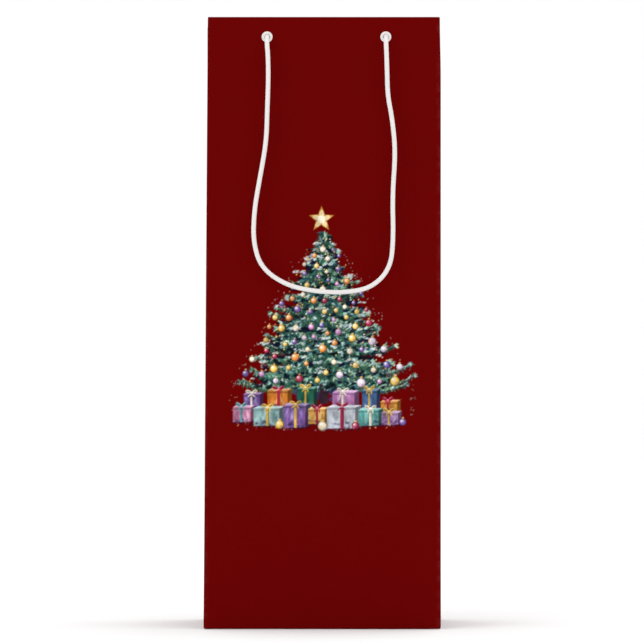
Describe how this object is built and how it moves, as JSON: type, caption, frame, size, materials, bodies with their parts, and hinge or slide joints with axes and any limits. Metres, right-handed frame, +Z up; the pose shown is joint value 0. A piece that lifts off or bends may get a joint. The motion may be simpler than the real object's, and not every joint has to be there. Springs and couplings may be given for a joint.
{
  "type": "wine gift bag",
  "caption": "Tall folded paper carrier bag for one wine bottle: creased side gussets, glued square base with a loose board, carded top hem, eyelets and a knotted cord handle front and back.",
  "frame": {"origin": "centre of the bag's base, on the surface that it stands on", "axes": "+Z up, the bag's front faces -Y, +X to the right as seen from the front"},
  "size_m": [0.128, 0.1094, 0.33],
  "materials": {
    "printed_paper": "satin",
    "grey_card": "matte",
    "grey_board": "matte",
    "eyelet_white": "gloss",
    "cord_white": "matte"
  },
  "bodies": {
    "bag": {"front_panel": "printed_paper", "back_panel": "printed_paper", "left_gusset_front": "printed_paper", "left_gusset_rear": "printed_paper", "right_gusset_front": "printed_paper", "right_gusset_rear": "printed_paper", "seam_flap": "printed_paper", "bottom_left_flap": "printed_paper", "bottom_right_flap": "printed_paper", "bottom_back_flap": "printed_paper", "bottom_front_flap": "printed_paper", "front_hem": "printed_paper", "back_hem": "printed_paper", "left_hem": "printed_paper", "right_hem": "printed_paper", "front_card": "grey_card", "back_card": "grey_card", "front_left_eyelet": "eyelet_white", "front_right_eyelet": "eyelet_white", "back_left_eyelet": "eyelet_white", "back_right_eyelet": "eyelet_white", "front_left_cord_tail": "cord_white", "front_right_cord_tail": "cord_white", "back_left_cord_tail": "cord_white", "back_right_cord_tail": "cord_white", "front_left_knot": "cord_white", "front_right_knot": "cord_white", "back_left_knot": "cord_white", "back_right_knot": "cord_white"},
    "front_handle": {"front_handle_cord": "cord_white"},
    "back_handle": {"back_handle_cord": "cord_white"},
    "base_board": {"base_board": "grey_board"}
  },
  "joints": [
    {"name": "front_handle_swing", "type": "hinge", "parent": "bag", "child": "front_handle", "pos_m": [0, -0.0535, 0.3192], "axis": [-1, 0, 0], "range_deg": [-2.8, 178]},
    {"name": "back_handle_swing", "type": "hinge", "parent": "bag", "child": "back_handle", "pos_m": [0, 0.0535, 0.3192], "axis": [1, 0, 0], "range_deg": [-2.8, 178]},
    {"name": "base_board_lift", "type": "slide", "parent": "bag", "child": "base_board", "axis": [0, 0, 1], "range_m": [0, 0.302]}
  ]
}
